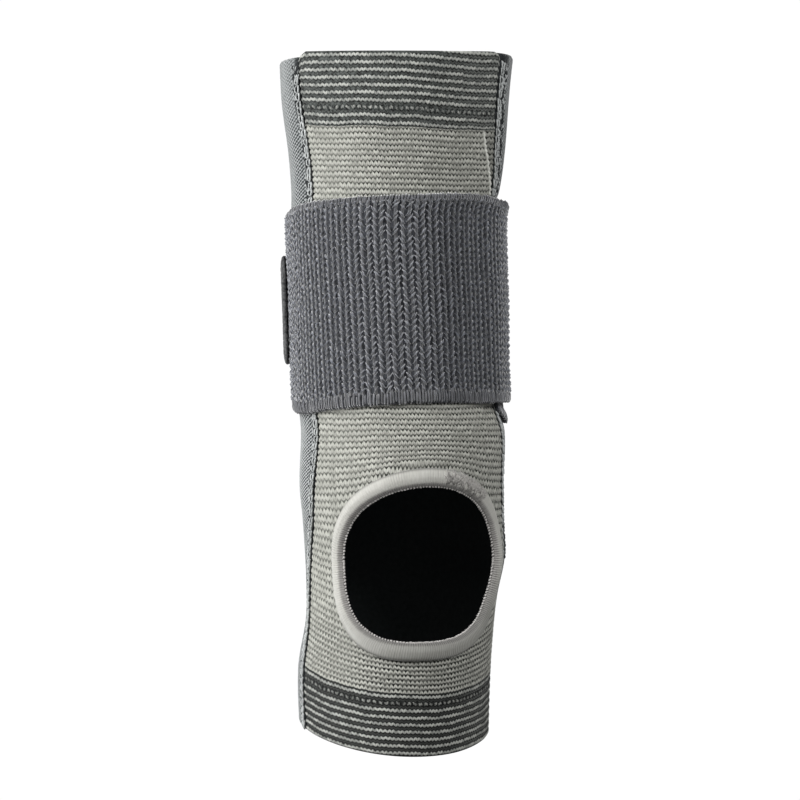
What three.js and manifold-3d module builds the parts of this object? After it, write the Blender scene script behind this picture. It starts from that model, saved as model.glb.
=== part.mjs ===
// Knitted wrist support: a two-panel sleeve with a bound thumb hole, a wrap strap and its hook tab.
// Millimetres, +Z up towards the forearm. The origin is on the arm's axis at the wrist, half-way
// up the strap. The thumb side faces -Y, and angles run from there: 0 is the thumb side (-Y),
// +90 is +X, 180 is the little-finger side (+Y) and -90 is -X.
import * as THREE from 'three';
import { mergeVertices } from 'three/addons/utils/BufferGeometryUtils.js';
import Module from 'manifold-3d';

const wasm = await Module();
wasm.setup();

// ---------------------------------------------------------------- driving sizes
const KNIT_GAP = 0.3;           // clear gap between pieces that meet
const STRAP_THICK = 1.5;
const TAB_TILT = 0.021;         // rise of the tab per mm along +X, about 1 degree
const TAB_HEIGHT = 27;
const TAB_THICK = 1.0;
const TAB_CORNER = 6;           // corner radius of the tab's free end

// The sleeve's outer surface, one row for each section of the arm it is stretched over.
// z: height; half_width: along X; front: reach to -Y; back: reach to +Y; x_mid: sideways lean of
// the middle; wall: knit thickness, thicker in the turned hems; seam_left and seam_right: how many
// degrees round from the thumb side the panels meet, towards -X and towards +X.
const SECTIONS = [
  { z:   62, half_width: 29.0, front: 34.0, back: 34.0, x_mid: -0.2, wall: 2.2, seam_left: 62.0, seam_right: 57.5 },
  { z:   51, half_width: 28.0, front: 33.4, back: 33.4, x_mid: -0.5, wall: 2.1, seam_left: 62.3, seam_right: 58.0 },
  { z:   38, half_width: 26.8, front: 32.2, back: 32.5, x_mid: -0.2, wall: 1.5, seam_left: 59.0, seam_right: 58.0 },
  { z:   28, half_width: 25.7, front: 31.1, back: 31.6, x_mid: -0.5, wall: 1.5, seam_left: 58.0, seam_right: 62.0 },
  { z:   23, half_width: 24.8, front: 30.7, back: 31.1, x_mid: -1.4, wall: 1.5, seam_left: 58.0, seam_right: 64.0 },
  { z:    0, half_width: 24.6, front: 30.0, back: 30.6, x_mid: -0.8, wall: 1.5, seam_left: 59.5, seam_right: 66.0 },
  { z:  -23, half_width: 24.5, front: 31.2, back: 31.8, x_mid: -0.1, wall: 1.5, seam_left: 61.0, seam_right: 67.0 },
  { z:  -31, half_width: 25.2, front: 32.7, back: 33.3, x_mid:  1.4, wall: 1.5, seam_left: 62.0, seam_right: 67.5 },
  { z:  -44, half_width: 25.2, front: 35.2, back: 35.4, x_mid:  1.0, wall: 1.5, seam_left: 65.5, seam_right: 70.5 },
  { z:  -53, half_width: 24.8, front: 36.8, back: 36.6, x_mid:  1.4, wall: 1.5, seam_left: 70.5, seam_right: 74.5 },
  { z:  -62, half_width: 24.6, front: 38.0, back: 37.6, x_mid:  1.8, wall: 1.5, seam_left: 77.0, seam_right: 79.0 },
  { z:  -71, half_width: 23.6, front: 38.8, back: 38.4, x_mid:  1.1, wall: 1.5, seam_left: 81.0, seam_right: 83.0 },
  { z:  -78, half_width: 23.3, front: 39.2, back: 39.0, x_mid:  0.6, wall: 1.5, seam_left: 81.0, seam_right: 85.0 },
  { z:  -90, half_width: 23.8, front: 39.4, back: 39.6, x_mid: -0.8, wall: 1.9, seam_left: 76.5, seam_right: 86.0 },
  { z: -108, half_width: 23.4, front: 39.4, back: 39.8, x_mid: -0.9, wall: 2.2, seam_left: 74.0, seam_right: 86.0 },
];

// The rims. The thumb-side panel stands a little above the rib panel at the forearm end, with
// pulled-up, rounded corners; the palm hem sags on the thumb side and runs lower towards +X.
const RIM = {
  thumb_top: 60.4, corner_rise: 0.9, corner_drop: 2.2, rib_top: 60.5, rib_tilt: 0.6,
  hem: -104.4, hem_sag: 1.8, hem_tilt: 0.9,
};

// The thumb opening, laid on the surface: round above, squarer below, the upper half leaning to +X.
const HOLE = {
  centre_deg: 4.8, z: -60.8, half_deg: 49.4, half_height: 18.4, lean_deg: 3.2,
  power_above: 2, power_below: 2.8, steps: 56,
};
const HOLE_CUT = 1.45;          // the knit is cut this far outside the opening, behind the binding's nose

// The binding's section: a rounded band on the outer face whose nose caps the cut edge. across: mm
// outwards from the opening's edge along the surface, drawn in at the sides; out: mm from the
// knit's outer face.
const BINDING_DRAWN_IN = 0.38;
const BINDING = [
  { across: 4.20, out: 0.30 },
  { across: 4.05, out: 0.80 },
  { across: 3.20, out: 1.25 },
  { across: 1.90, out: 1.35 },
  { across: 0.70, out: 0.95 },
  { across: 0.10, out: 0.20 },
  { across: 0.00, out: -0.50 },
  { across: 0.45, out: -1.00 },
  { across: 1.10, out: -1.00 },
  { across: 1.10, out: 0.30 },
];

// The strap's wound path, by angle: it starts under itself on the +X side, passes the back, the
// -X side and the front once, and then overlaps itself round the back.
const STRAP = { start_deg: 65, end_deg: 580, step_deg: 7.4, rows: 4 };
const OVERLAP = { from_deg: 402, to_deg: 420 };         // where it climbs over its own start
const BULGE = { out: 0.45, from_deg: 405, to_deg: 430, ease_from: 470, ease_to: 520 };   // slack over the start
// Its lower and upper edges, by angle: the start hangs lower with a rounded end, the upper edge
// dips on the -X side and rises on the thumb side.
const STRAP_EDGES = [
  { deg:  65, low: -25.6, high: 20.4 },
  { deg:  73, low: -28.0, high: 20.2 },
  { deg:  84, low: -29.6, high: 20.2 },
  { deg: 110, low: -29.8, high: 20.2 },
  { deg: 190, low: -27.6, high: 21.6 },
  { deg: 262, low: -26.4, high: 22.0 },
  { deg: 282, low: -26.5, high: 23.6 },
  { deg: 296, low: -26.3, high: 24.8 },
  { deg: 317, low: -24.9, high: 25.6 },
  { deg: 335, low: -24.0, high: 26.3 },
  { deg: 362, low: -23.1, high: 26.8 },
  { deg: 390, low: -23.3, high: 27.4 },
  { deg: 410, low: -24.0, high: 27.2 },
  { deg: 430, low: -24.6, high: 26.6 },
  { deg: 450, low: -24.9, high: 26.0 },
  { deg: 500, low: -25.0, high: 25.2 },
  { deg: 580, low: -25.0, high: 25.0 },
];
const TAB = { from_deg: 572, to_deg: 631, step_down_from: 581, step_down_to: 589, z: -0.6, steps: 18, rows: 6 };

// ---------------------------------------------------------------- the surface
const rad = (deg) => (deg * Math.PI) / 180;
const smooth = (t) => { const c = Math.min(1, Math.max(0, t)); return c * c * (3 - 2 * c); };
const ramp = (x, a, b) => smooth((x - a) / (b - a));

// A section value at any height, by a Catmull-Rom curve through the table's rows.
function section(z, key) {
  const rows = SECTIONS, n = rows.length;
  let i = 0;
  while (i < n - 2 && z < rows[i + 1].z) i++;
  const p0 = rows[Math.max(0, i - 1)], p1 = rows[i], p2 = rows[i + 1], p3 = rows[Math.min(n - 1, i + 2)];
  const span = p2.z - p1.z, t = (z - p1.z) / span;
  const slope = (a, b) => (a === b ? 0 : ((b[key] - a[key]) / (b.z - a.z)) * span);
  const m1 = slope(p0, p2), m2 = slope(p1, p3);
  const t2 = t * t, t3 = t2 * t;
  return (2 * t3 - 3 * t2 + 1) * p1[key] + (t3 - 2 * t2 + t) * m1 + (-2 * t3 + 3 * t2) * p2[key] + (t3 - t2) * m2;
}

// The sleeve's outer face at an angle and a height.
function face(deg, z) {
  const c = Math.cos(rad(deg)), s = Math.sin(rad(deg));
  const reach = c > 0 ? section(z, 'front') : section(z, 'back');
  return new THREE.Vector3(section(z, 'x_mid') + section(z, 'half_width') * s, -reach * c, z);
}

// A point that stands off the sleeve's outer face along its normal.
function standing(deg, z, off) {
  const p = face(deg, z), e = 0.02;
  const round = face(deg + e, z).sub(face(deg - e, z));
  const up = face(deg, z + e).sub(face(deg, z - e));
  const normal = round.cross(up).normalize();
  return p.addScaledVector(normal, off);
}

// The seams' angle at a height, and a share of the panel's reach (-1 to 1) as an angle.
const seam = (z, side) => (side < 0 ? section(z, 'seam_left') : section(z, 'seam_right'));
const thumbTop = (deg) => {
  const share = Math.abs(deg) / seam(RIM.thumb_top, deg);
  return RIM.thumb_top + RIM.corner_rise * share * share - RIM.corner_drop * ramp(share, 0.9, 1.02);
};
const ribTop = (deg) => RIM.rib_top + RIM.rib_tilt * Math.sin(rad(deg));
const hem = (deg) => RIM.hem - RIM.hem_sag * Math.pow(Math.max(0, Math.cos(rad(deg))), 1.5) - RIM.hem_tilt * Math.sin(rad(deg));

// ---------------------------------------------------------------- meshes
// A closed wall from a grid of points on two faces: at(i, j, 0) is outside and at(i, j, 1) inside.
function wall(columns, rows, at) {
  const points = [], faces = [];
  const id = (i, j, side) => (side * (columns + 1) + i) * (rows + 1) + j;
  for (let side = 0; side < 2; side++)
    for (let i = 0; i <= columns; i++)
      for (let j = 0; j <= rows; j++) points.push(at(i, j, side));
  const quad = (a, b, c, d) => faces.push(a, b, c, a, c, d);
  for (let i = 0; i < columns; i++)
    for (let j = 0; j < rows; j++) {
      quad(id(i, j, 0), id(i + 1, j, 0), id(i + 1, j + 1, 0), id(i, j + 1, 0));
      quad(id(i, j, 1), id(i, j + 1, 1), id(i + 1, j + 1, 1), id(i + 1, j, 1));
    }
  for (let i = 0; i < columns; i++) {
    quad(id(i, 0, 1), id(i + 1, 0, 1), id(i + 1, 0, 0), id(i, 0, 0));
    quad(id(i, rows, 0), id(i + 1, rows, 0), id(i + 1, rows, 1), id(i, rows, 1));
  }
  for (let j = 0; j < rows; j++) {
    quad(id(0, j, 0), id(0, j + 1, 0), id(0, j + 1, 1), id(0, j, 1));
    quad(id(columns, j, 1), id(columns, j + 1, 1), id(columns, j + 1, 0), id(columns, j, 0));
  }
  return geometry(points, faces);
}

// A closed ring from a section polygon carried round a loop: at(i, k) is section point k at step i.
function ring(steps, corners, at) {
  const points = [], faces = [];
  for (let i = 0; i < steps; i++) for (let k = 0; k < corners; k++) points.push(at(i, k));
  for (let i = 0; i < steps; i++)
    for (let k = 0; k < corners; k++) {
      const n = (i + 1) % steps, m = (k + 1) % corners;
      const a = i * corners + k, b = n * corners + k, c = n * corners + m, d = i * corners + m;
      faces.push(a, b, c, a, c, d);
    }
  return geometry(points, faces);
}

function geometry(points, faces) {
  const g = new THREE.BufferGeometry();
  g.setAttribute('position', new THREE.Float32BufferAttribute(points.flatMap((p) => [p.x, p.y, p.z]), 3));
  g.setIndex(faces);
  return g;
}

function solid(g) {
  const plain = new THREE.BufferGeometry();
  plain.setAttribute('position', g.getAttribute('position').clone());
  plain.setIndex(g.getIndex().clone());
  const merged = mergeVertices(plain, 1e-4);
  return new wasm.Manifold(new wasm.Mesh({
    numProp: 3,
    vertProperties: new Float32Array(merged.getAttribute('position').array),
    triVerts: new Uint32Array(merged.getIndex().array),
  }));
}

function fromSolid(made) {
  const m = made.getMesh(), g = new THREE.BufferGeometry();
  const xyz = new Float32Array(m.numVert * 3);
  for (let i = 0; i < m.numVert; i++) xyz.set(m.vertProperties.subarray(i * m.numProp, i * m.numProp + 3), i * 3);
  g.setAttribute('position', new THREE.BufferAttribute(xyz, 3));
  g.setIndex(new THREE.BufferAttribute(new Uint32Array(m.triVerts), 1));
  return g;
}

// ---------------------------------------------------------------- the thumb opening
// A point of the opening's edge moved outwards by some mm along the surface, at a stand-off.
function aroundHole(turn, across, off) {
  const at = (t) => {
    const c = Math.cos(t), s = Math.sin(t), p = 2 / (s > 0 ? HOLE.power_above : HOLE.power_below);
    return {
      deg: HOLE.centre_deg + HOLE.half_deg * Math.sign(c) * Math.abs(c) ** p + HOLE.lean_deg * Math.max(0, s) ** 2,
      z: HOLE.z + HOLE.half_height * Math.sign(s) * Math.abs(s) ** p,
    };
  };
  const e = 0.01, p = at(turn), q = at(turn + e), r = at(turn - e);
  const mm = face(p.deg + 0.5, p.z).distanceTo(face(p.deg - 0.5, p.z));   // mm of surface per degree
  const along = new THREE.Vector2((q.deg - r.deg) * mm, q.z - r.z).normalize();
  const out = new THREE.Vector2(along.y, -along.x);
  return standing(p.deg + (out.x * across) / mm, p.z + out.y * across, off);
}

function holeCutter() {
  const n = HOLE.steps, points = [], faces = [];
  for (const off of [6, -8]) for (let i = 0; i < n; i++) points.push(aroundHole((2 * Math.PI * i) / n, HOLE_CUT, off));
  points.push(standing(HOLE.centre_deg, HOLE.z, 14), standing(HOLE.centre_deg, HOLE.z, -16));
  for (let i = 0; i < n; i++) {
    const j = (i + 1) % n;
    faces.push(i, n + i, n + j, i, n + j, j);
    faces.push(2 * n, i, j);
    faces.push(2 * n + 1, n + j, n + i);
  }
  return geometry(points, faces);
}

// ---------------------------------------------------------------- pieces
const SEAM_GAP_DEG = 0.35;   // half the gap between the panels, about 0.2 mm

function thumbSidePanel() {
  const columns = 24, rows = 32;
  const g = wall(columns, rows, (i, j, side) => {
    const share = (2 * i) / columns - 1, rise = j / rows;
    let deg = share * 66, z = 0;
    for (let k = 0; k < 3; k++) {   // the seam's angle depends on the height, and the rims on the angle
      const low = hem(deg), high = thumbTop(deg);
      z = low + (high - low) * rise;
      deg = share * (seam(z, share) - SEAM_GAP_DEG);
    }
    return standing(deg, z, side ? -section(z, 'wall') : 0);
  });
  return fromSolid(solid(g).subtract(solid(holeCutter())));
}

function ribPanel() {
  const columns = 30, rows = 22;
  return wall(columns, rows, (i, j, side) => {
    const share = i / columns, rise = j / rows;
    let deg = 180, z = 0;
    for (let k = 0; k < 3; k++) {
      const low = hem(deg), high = ribTop(deg);
      z = low + (high - low) * rise;
      const first = seam(z, 1) + SEAM_GAP_DEG, last = 360 - seam(z, -1) - SEAM_GAP_DEG;
      deg = first + (last - first) * share;
    }
    return standing(deg, z, side ? -section(z, 'wall') : 0);
  });
}

function thumbHoleBinding() {
  return ring(HOLE.steps, BINDING.length, (i, k) => {
    const turn = (2 * Math.PI * i) / HOLE.steps, { across, out } = BINDING[k];
    const drawn = 1 - BINDING_DRAWN_IN * Math.cos(turn) ** 2;
    return aroundHole(turn, across <= HOLE_CUT ? across : HOLE_CUT + (across - HOLE_CUT) * drawn, out);
  });
}

// How far the strap's inner face stands off the sleeve, by angle.
const strapStand = (deg) => KNIT_GAP + (STRAP_THICK + KNIT_GAP) * ramp(deg, OVERLAP.from_deg, OVERLAP.to_deg)
  + BULGE.out * ramp(deg, BULGE.from_deg, BULGE.to_deg) * (1 - ramp(deg, BULGE.ease_from, BULGE.ease_to));
// A height across the strap, by angle and by share from its lower edge (0) to its upper (1).
function strapHeight(deg, share) {
  let i = 0;
  while (i < STRAP_EDGES.length - 2 && deg > STRAP_EDGES[i + 1].deg) i++;
  const a = STRAP_EDGES[i], b = STRAP_EDGES[i + 1], t = (deg - a.deg) / (b.deg - a.deg);
  const low = a.low + (b.low - a.low) * t, high = a.high + (b.high - a.high) * t;
  return low + (high - low) * share;
}

function wrapStrap() {
  const columns = Math.round((STRAP.end_deg - STRAP.start_deg) / STRAP.step_deg), rows = STRAP.rows;
  return wall(columns, rows, (i, j, side) => {
    const deg = STRAP.start_deg + ((STRAP.end_deg - STRAP.start_deg) * i) / columns;
    return standing(deg, strapHeight(deg, j / rows), strapStand(deg) + (side ? 0 : STRAP_THICK));
  });
}

function hookTab() {
  const mm = face(TAB.to_deg + 0.5, 0).distanceTo(face(TAB.to_deg - 0.5, 0));
  return wall(TAB.steps, TAB.rows, (i, j, side) => {
    const deg = TAB.from_deg + ((TAB.to_deg - TAB.from_deg) * i) / TAB.steps;
    const left = (TAB.to_deg - deg) * mm;                 // mm to the free end
    const nip = left < TAB_CORNER ? TAB_CORNER - Math.sqrt(TAB_CORNER ** 2 - (TAB_CORNER - left) ** 2) : 0;
    const half = TAB_HEIGHT / 2 - nip * 0.92;
    const z = TAB.z + TAB_TILT * section(0, 'half_width') * Math.sin(rad(deg)) + half * ((2 * j) / TAB.rows - 1);
    const layers = 2 - ramp(deg, TAB.step_down_from, TAB.step_down_to);   // on the strap's end, then on its first turn
    const stand = KNIT_GAP + layers * (STRAP_THICK + KNIT_GAP);
    return standing(deg, z, stand + (side ? 0 : TAB_THICK));
  });
}

// ---------------------------------------------------------------- the assembly
const LOOK = {
  thumb_side_panel: { color: 0x8c8d88, roughness: 0.95, metalness: 0 },
  rib_panel: { color: 0x8f9496, roughness: 0.95, metalness: 0 },
  thumb_hole_binding: { color: 0xb6b6b0, roughness: 0.85, metalness: 0 },
  wrap_strap: { color: 0x515256, roughness: 0.95, metalness: 0 },
  hook_tab: { color: 0x3f3f40, roughness: 0.7, metalness: 0 },
};

const wristSupport = new THREE.Group();
wristSupport.name = 'wrist_support';
const sleeve = new THREE.Group();
sleeve.name = 'sleeve';
const closure = new THREE.Group();
closure.name = 'closure';
wristSupport.add(sleeve, closure);

function piece(group, name, made) {
  made.computeVertexNormals();
  const mesh = new THREE.Mesh(made, new THREE.MeshStandardMaterial(LOOK[name]));
  mesh.name = name;
  group.add(mesh);
}

piece(sleeve, 'thumb_side_panel', thumbSidePanel());
piece(sleeve, 'rib_panel', ribPanel());
piece(sleeve, 'thumb_hole_binding', thumbHoleBinding());
piece(closure, 'wrap_strap', wrapStrap());
piece(closure, 'hook_tab', hookTab());

export default wristSupport;
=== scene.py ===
import math
import bpy
import numpy as np
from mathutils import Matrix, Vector


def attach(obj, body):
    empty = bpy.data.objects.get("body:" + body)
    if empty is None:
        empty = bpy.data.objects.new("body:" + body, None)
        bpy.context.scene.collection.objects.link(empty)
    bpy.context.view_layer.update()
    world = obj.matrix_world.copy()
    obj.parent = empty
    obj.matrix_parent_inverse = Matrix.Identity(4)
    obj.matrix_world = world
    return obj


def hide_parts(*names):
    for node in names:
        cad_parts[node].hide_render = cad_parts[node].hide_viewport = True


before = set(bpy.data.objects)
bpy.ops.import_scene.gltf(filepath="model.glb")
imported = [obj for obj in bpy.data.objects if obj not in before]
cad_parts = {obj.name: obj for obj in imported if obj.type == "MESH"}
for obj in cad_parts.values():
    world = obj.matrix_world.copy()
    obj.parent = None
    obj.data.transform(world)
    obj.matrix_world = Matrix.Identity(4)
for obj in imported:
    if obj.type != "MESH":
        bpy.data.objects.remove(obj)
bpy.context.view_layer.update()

RNG = np.random.default_rng(20)

# ------------------------------------------------------------------ the sleeve's surface, in mm
# One row per section: z, half_width, front, back, x_mid, wall, seam_left, seam_right.
COLUMNS = ("z", "half_width", "front", "back", "x_mid", "wall", "seam_left", "seam_right")
SECTIONS = np.array([
    (62, 29.0, 34.0, 34.0, -0.2, 2.2, 62.0, 57.5),
    (51, 28.0, 33.4, 33.4, -0.5, 2.1, 62.3, 58.0),
    (38, 26.8, 32.2, 32.5, -0.2, 1.5, 59.0, 58.0),
    (28, 25.7, 31.1, 31.6, -0.5, 1.5, 58.0, 62.0),
    (23, 24.8, 30.7, 31.1, -1.4, 1.5, 58.0, 64.0),
    (0, 24.6, 30.0, 30.6, -0.8, 1.5, 59.5, 66.0),
    (-23, 24.5, 31.2, 31.8, -0.1, 1.5, 61.0, 67.0),
    (-31, 25.2, 32.7, 33.3, 1.4, 1.5, 62.0, 67.5),
    (-44, 25.2, 35.2, 35.4, 1.0, 1.5, 65.5, 70.5),
    (-53, 24.8, 36.8, 36.6, 1.4, 1.5, 70.5, 74.5),
    (-62, 24.6, 38.0, 37.6, 1.8, 1.5, 77.0, 79.0),
    (-71, 23.6, 38.8, 38.4, 1.1, 1.5, 81.0, 83.0),
    (-78, 23.3, 39.2, 39.0, 0.6, 1.5, 81.0, 85.0),
    (-90, 23.8, 39.4, 39.6, -0.8, 1.9, 76.5, 86.0),
    (-108, 23.4, 39.4, 39.8, -0.9, 2.2, 74.0, 86.0),
])
RIM = dict(thumb_top=60.4, corner_rise=0.9, corner_drop=2.2, rib_top=60.5, rib_tilt=0.6, hem=-104.4, hem_sag=1.8, hem_tilt=0.9)
HOLE = dict(centre=4.8, z=-60.8, half=49.4, height=18.4, lean=3.2, above=2.0, below=2.8)
GAP, STRAP_WIDTH, STRAP_THICK, TAB_TILT = 0.3, 50.0, 1.5, 0.021
STRAP_FROM, STRAP_TO = 65.0, 580.0
# Angle along the strap's path, its lower edge and its upper edge.
STRAP_EDGES = np.array([(65, -25.6, 20.4), (73, -28.0, 20.2), (84, -29.6, 20.2), (110, -29.8, 20.2), (190, -27.6, 21.6), (262, -26.4, 22.0),
                        (282, -26.5, 23.6), (296, -26.3, 24.8), (317, -24.9, 25.6), (335, -24.0, 26.3), (362, -23.1, 26.8), (390, -23.3, 27.4),
                        (410, -24.0, 27.2), (430, -24.6, 26.6), (450, -24.9, 26.0), (500, -25.0, 25.2), (580, -25.0, 25.0)])
TAB = dict(start=572.0, end=631.0, down_from=581.0, down_to=589.0, z=-0.6, height=27.0, thick=1.0, corner=6.0)


def _catmull(z, key):
    t = SECTIONS
    k = COLUMNS.index(key)
    out = np.empty_like(z)
    for m, zz in enumerate(z):
        i = 0
        while i < len(t) - 2 and zz < t[i + 1, 0]:
            i += 1
        p0, p1, p2, p3 = t[max(0, i - 1)], t[i], t[i + 1], t[min(len(t) - 1, i + 2)]
        span = p2[0] - p1[0]
        s = (zz - p1[0]) / span
        m1 = 0 if p0[0] == p2[0] else (p2[k] - p0[k]) / (p2[0] - p0[0]) * span
        m2 = 0 if p1[0] == p3[0] else (p3[k] - p1[k]) / (p3[0] - p1[0]) * span
        out[m] = (2 * s**3 - 3 * s**2 + 1) * p1[k] + (s**3 - 2 * s**2 + s) * m1 + (-2 * s**3 + 3 * s**2) * p2[k] + (s**3 - s**2) * m2
    return out


_Z = np.arange(-116.0, 72.0, 0.1)
_TABLE = {key: _catmull(_Z, key) for key in COLUMNS[1:]}


def sec(key, z):
    return np.interp(z, _Z, _TABLE[key])


def smooth(t):
    c = np.clip(t, 0, 1)
    return c * c * (3 - 2 * c)


def ramp(x, a, b):
    return smooth((np.asarray(x, float) - a) / (b - a))


def face(deg, z):
    a = np.radians(deg)
    c, s = np.cos(a), np.sin(a)
    reach = np.where(c > 0, sec("front", z), sec("back", z))
    return np.stack([sec("x_mid", z) + sec("half_width", z) * s, -reach * c, z + 0 * s], -1)


def stand(deg, z, off):
    deg, z, off = np.broadcast_arrays(np.asarray(deg, float), np.asarray(z, float), np.asarray(off, float))
    e = 0.2
    n = np.cross(face(deg + e, z) - face(deg - e, z), face(deg, z + e) - face(deg, z - e))
    n /= np.linalg.norm(n, axis=-1, keepdims=True)
    return face(deg, z) + n * off[..., None]


def seam(z, side):
    return np.where(np.asarray(side) < 0, sec("seam_left", z), sec("seam_right", z))


def thumb_top(deg):
    share = np.abs(deg) / seam(np.full_like(deg, RIM["thumb_top"]), deg)
    return RIM["thumb_top"] + RIM["corner_rise"] * share**2, RIM["corner_drop"] * ramp(share, 0.9, 1.02)


def rib_top(deg):
    return RIM["rib_top"] + RIM["rib_tilt"] * np.sin(np.radians(deg))


def hem(deg):
    a = np.radians(deg)
    return RIM["hem"] - RIM["hem_sag"] * np.maximum(0, np.cos(a)) ** 1.5 - RIM["hem_tilt"] * np.sin(a)


_GX, _GW = np.polynomial.legendre.leggauss(10)


def arc(deg, z, reach="front"):
    """mm along the section from the middle of the thumb side (or, with reach "back", of the back)."""
    a = np.radians(deg)
    half = sec("half_width", z)
    k = (sec(reach, z) / half)[..., None]
    t = a[..., None] * (0.5 + 0.5 * _GX)
    return half * a * 0.5 * np.sum(_GW * np.sqrt(np.cos(t) ** 2 + (k * np.sin(t)) ** 2), -1)


def angle_at(mm, z, guess, reach="front"):
    deg = guess
    for _ in range(3):
        a = np.radians(deg)
        speed = np.sqrt((sec("half_width", z) * np.cos(a)) ** 2 + (sec(reach, z) * np.sin(a)) ** 2)
        deg = deg - np.degrees((arc(deg, z, reach) - mm) / speed)
    return deg


def around_hole(turn, across, off):
    turn, across, off = np.broadcast_arrays(np.asarray(turn, float), np.asarray(across, float), np.asarray(off, float))

    def at(t):
        c, s = np.cos(t), np.sin(t)
        p = 2 / np.where(s > 0, HOLE["above"], HOLE["below"])
        return (HOLE["centre"] + HOLE["half"] * np.sign(c) * np.abs(c) ** p + HOLE["lean"] * np.maximum(0, s) ** 2,
                HOLE["z"] + HOLE["height"] * np.sign(s) * np.abs(s) ** p)

    e = 0.01
    (d0, z0), (d1, z1), (d2, z2) = at(turn), at(turn + e), at(turn - e)
    mm = np.linalg.norm(face(d0 + 0.5, z0) - face(d0 - 0.5, z0), axis=-1)
    ax, az = (d1 - d2) * mm, z1 - z2
    ln = np.hypot(ax, az)
    ax, az = ax / ln, az / ln
    return stand(d0 + az * across / mm, z0 - ax * across, off)


def hole_distance(deg, z):
    """About how many mm a point lies outside the thumb opening's edge (negative inside)."""
    def radius(d, zz):
        dz = (zz - HOLE["z"]) / HOLE["height"]
        n = np.where(dz > 0, HOLE["above"], HOLE["below"])
        mid = HOLE["centre"] + HOLE["lean"] * np.clip(dz, 0, 1) ** 2
        return (np.abs((d - mid) / HOLE["half"]) ** n + np.abs(dz) ** n + 1e-9) ** (1 / n)

    r = radius(deg, z)
    mm = np.linalg.norm(face(deg + 0.5, z) - face(deg - 0.5, z), axis=-1)
    gx = (radius(deg + 0.2, z) - radius(deg - 0.2, z)) / 0.4 / mm
    gz = (radius(deg, z + 0.1) - radius(deg, z - 0.1)) / 0.2
    return (r - 1) / np.maximum(np.hypot(gx, gz), 1e-4)


def wobble(shape, cells, seed):
    """Smooth seeded unevenness between -1 and 1 on a grid."""
    rng = np.random.default_rng(seed)
    g = rng.uniform(-1, 1, (cells[0] + 3, cells[1] + 3))
    x = np.linspace(0, cells[0], shape[0])
    y = np.linspace(0, cells[1], shape[1])
    i, j = np.floor(x).astype(int), np.floor(y).astype(int)
    fx, fy = smooth(x - i)[:, None], smooth(y - j)[None, :]
    a, b = g[np.ix_(i, j)], g[np.ix_(i + 1, j)]
    c, d = g[np.ix_(i, j + 1)], g[np.ix_(i + 1, j + 1)]
    return (a * (1 - fx) + b * fx) * (1 - fy) + (c * (1 - fx) + d * fx) * fy


# ------------------------------------------------------------------ materials
class Nodes:
    """Short hand for a procedural material's node tree."""

    def __init__(self, name):
        self.mat = bpy.data.materials.new(name)
        self.mat.use_nodes = True
        self.t = self.mat.node_tree
        self.bsdf = next(n for n in self.t.nodes if n.type == "BSDF_PRINCIPLED")

    def new(self, kind, **props):
        n = self.t.nodes.new(kind)
        for k, v in props.items():
            setattr(n, k, v)
        return n

    def put(self, socket, value):
        if isinstance(value, bpy.types.NodeSocket):
            self.t.links.new(value, socket)
        else:
            socket.default_value = value

    def math(self, op, a, b=None, c=None):
        n = self.new("ShaderNodeMath", operation=op)
        for i, v in enumerate((a, b, c)):
            if v is not None:
                self.put(n.inputs[i], v)
        return n.outputs[0]

    def step(self, x, lo, hi):
        n = self.new("ShaderNodeMapRange", interpolation_type="SMOOTHSTEP")
        self.put(n.inputs["Value"], x)
        n.inputs["From Min"].default_value, n.inputs["From Max"].default_value = min(lo, hi), max(lo, hi)
        n.inputs["To Min"].default_value, n.inputs["To Max"].default_value = (0.0, 1.0) if lo < hi else (1.0, 0.0)
        return n.outputs["Result"]

    def uv(self, name="knit"):
        n = self.new("ShaderNodeUVMap", uv_map=name)
        s = self.new("ShaderNodeSeparateXYZ")
        self.t.links.new(n.outputs["UV"], s.inputs[0])
        return n.outputs["UV"], s.outputs["X"], s.outputs["Y"]

    def noise(self, vector, scale, detail=2.0, rough=0.5):
        n = self.new("ShaderNodeTexNoise")
        if vector is not None:
            self.t.links.new(vector, n.inputs["Vector"])
        n.inputs["Scale"].default_value = scale
        n.inputs["Detail"].default_value = detail
        n.inputs["Roughness"].default_value = rough
        return n.outputs["Fac"]

    def mix(self, fac, a, b, kind="MIX"):
        n = self.new("ShaderNodeMix", data_type="RGBA", blend_type=kind)
        self.put(n.inputs["Factor"], fac)
        for s, v in (("A", a), ("B", b)):
            sock = next(i for i in n.inputs if i.name == s and i.type == "RGBA")
            self.put(sock, v if isinstance(v, bpy.types.NodeSocket) else (*v, 1.0))
        return next(o for o in n.outputs if o.type == "RGBA")

    def bump(self, height, strength, distance):
        n = self.new("ShaderNodeBump")
        n.inputs["Strength"].default_value = strength
        n.inputs["Distance"].default_value = distance
        self.t.links.new(height, n.inputs["Height"])
        self.t.links.new(n.outputs["Normal"], self.bsdf.inputs["Normal"])

    def object_coords(self):
        return self.new("ShaderNodeTexCoord").outputs["Object"]

    def cloth(self, colour, rough=0.95, sheen=0.15):
        self.put(self.bsdf.inputs["Base Color"], colour if isinstance(colour, bpy.types.NodeSocket) else (*colour, 1.0))
        self.bsdf.inputs["Roughness"].default_value = rough
        self.bsdf.inputs["Specular IOR Level"].default_value = 0.15
        self.bsdf.inputs["Sheen Weight"].default_value = sheen
        self.bsdf.inputs["Sheen Roughness"].default_value = 0.6
        return self.mat


def srgb(*c):
    return tuple(((v / 255 + 0.055) / 1.055) ** 2.4 if v > 10 else v / 255 / 12.92 for v in c)


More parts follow.
